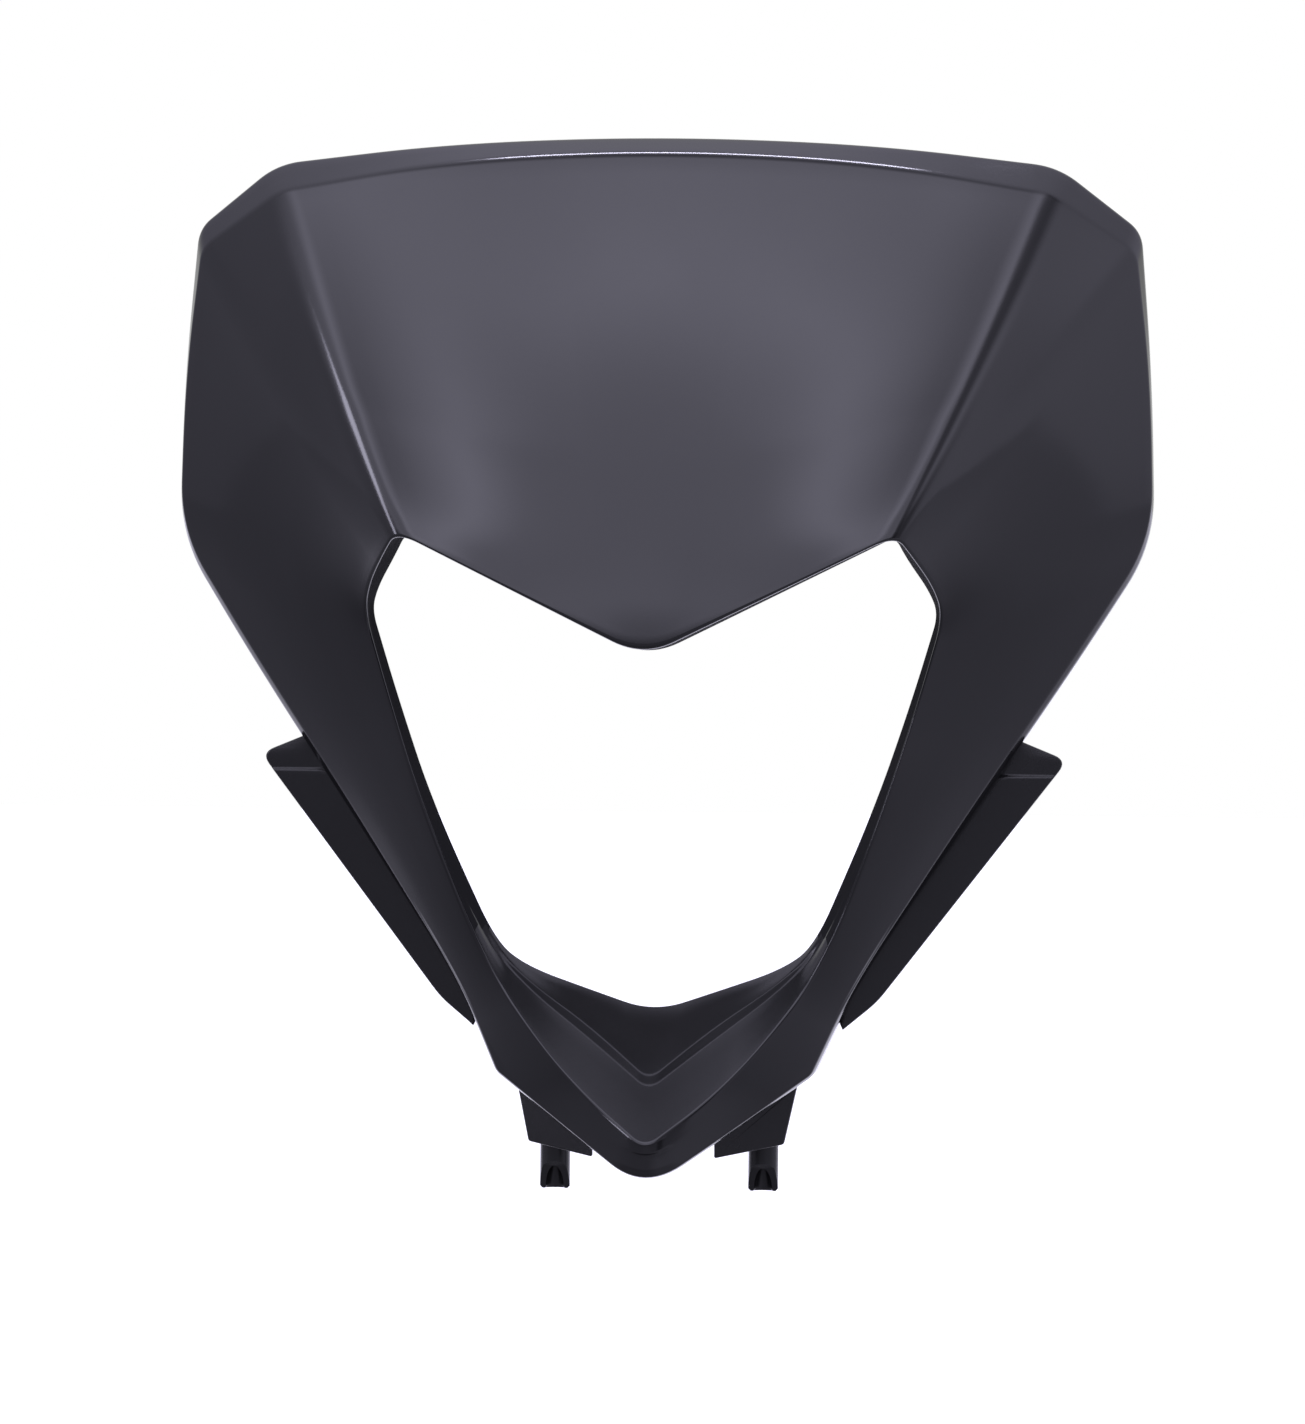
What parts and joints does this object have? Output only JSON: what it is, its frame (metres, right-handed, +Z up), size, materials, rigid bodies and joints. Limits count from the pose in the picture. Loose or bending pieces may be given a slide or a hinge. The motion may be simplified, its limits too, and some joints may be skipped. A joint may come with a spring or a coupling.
{
  "type": "motorbike headlight cowl",
  "caption": "Thin moulded headlight cowl with a crowned upper panel, a V-browed lamp opening, two side skirts, lower tabs and hollow locating pins.",
  "frame": {"origin": "midway between the lower ends of the two locating pins, on the mirror plane", "axes": "+Z up as worn on the motorbike, -Y out of the front face, X across, mirror plane at X = 0"},
  "size_m": [0.3062, 0.105, 0.3282],
  "materials": {
    "cowl_plastic": "gloss black moulded face, satin skirts, tabs and back"
  },
  "bodies": {
    "root": {"cowl": "cowl_plastic"}
  },
  "joints": []
}
